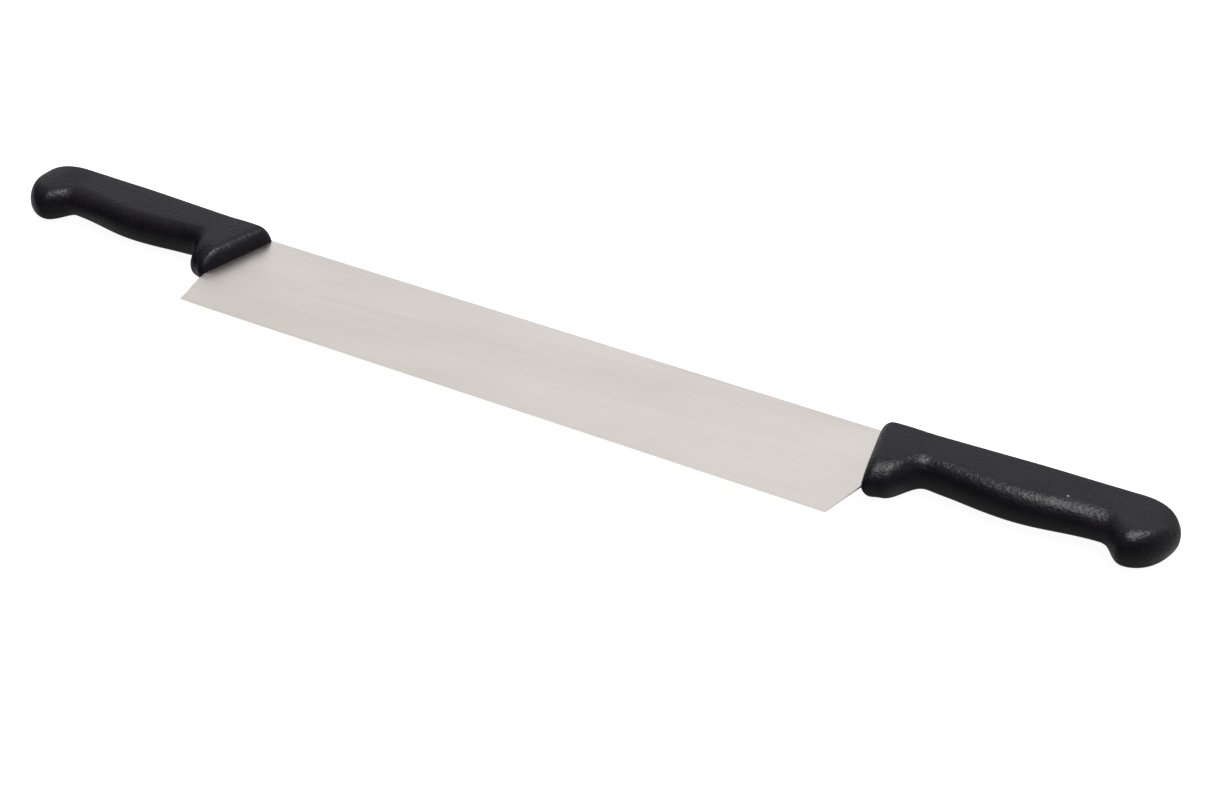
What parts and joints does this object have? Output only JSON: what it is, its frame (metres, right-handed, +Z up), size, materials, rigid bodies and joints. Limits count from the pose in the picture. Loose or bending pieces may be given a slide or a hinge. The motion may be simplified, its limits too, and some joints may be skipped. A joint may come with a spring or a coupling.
{
  "type": "two-handled uncapping knife",
  "caption": "Long straight ground blade with slanted ends and a moulded pistol-butt handle at each end, for slicing wax cappings off honeycomb.",
  "frame": {"origin": "under the middle of the whole knife, on the plane that its handles' flats rest on", "axes": "+X along the knife from the left handle to the right one, +Y from the cutting edge towards the spine, +Z up out of the blade's flat"},
  "size_m": [0.572, 0.0684, 0.0174],
  "materials": {
    "blade_steel": "fine lengthwise satin grind",
    "handle_plastic": "fine spark-eroded grain, satin sheen"
  },
  "bodies": {
    "root": {"blade": "blade_steel", "left_handle": "handle_plastic", "right_handle": "handle_plastic"}
  },
  "joints": []
}
